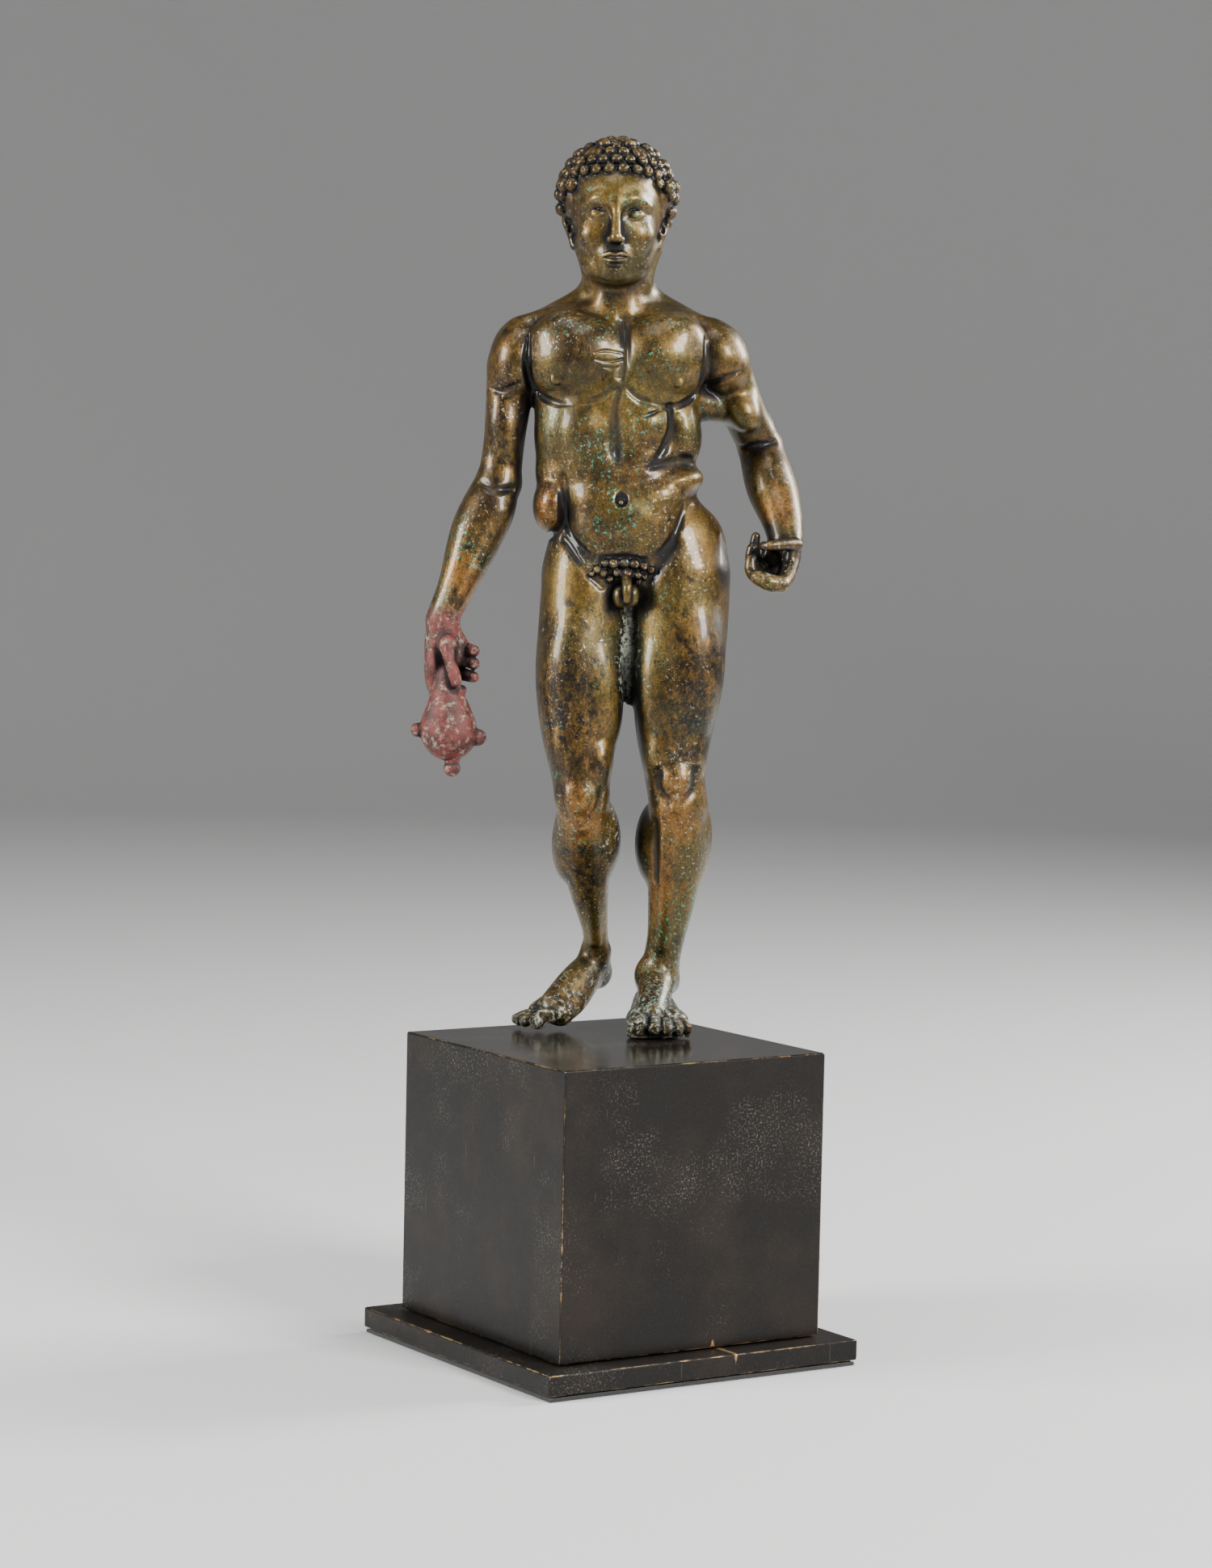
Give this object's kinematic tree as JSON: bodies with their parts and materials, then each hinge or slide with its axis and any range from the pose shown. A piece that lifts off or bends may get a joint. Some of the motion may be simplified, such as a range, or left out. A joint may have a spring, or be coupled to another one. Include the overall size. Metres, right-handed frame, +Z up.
{
  "type": "bronze statuette on a block",
  "caption": "Antique-style bronze statuette of Mercury, nude, with a purse in the lowered right hand and an open left grip, on a dark metal block with a base plate.",
  "frame": {"origin": "centre of the felt's flat underside", "axes": "+Z up through the statuette; X and Y along the sides of the block; the figure looks over the block's corner between -X and -Y"},
  "size_m": [0.0652, 0.0598, 0.2003],
  "materials": {
    "bronze": "glossy olive-brown patina with ochre, black and green patches; red and pale crust on the right hand and purse",
    "dark_bronze": "near-black satin patina with worn golden edges and pale speckle",
    "dark_plate": "near-black satin patina, dusty on top",
    "black_felt": "black felt with a slightly fuzzy edge"
  },
  "bodies": {
    "root": {"mercury_figure": "bronze", "plinth_block": "dark_bronze", "plinth_base_plate": "dark_plate", "felt_pad": "black_felt"}
  },
  "joints": []
}
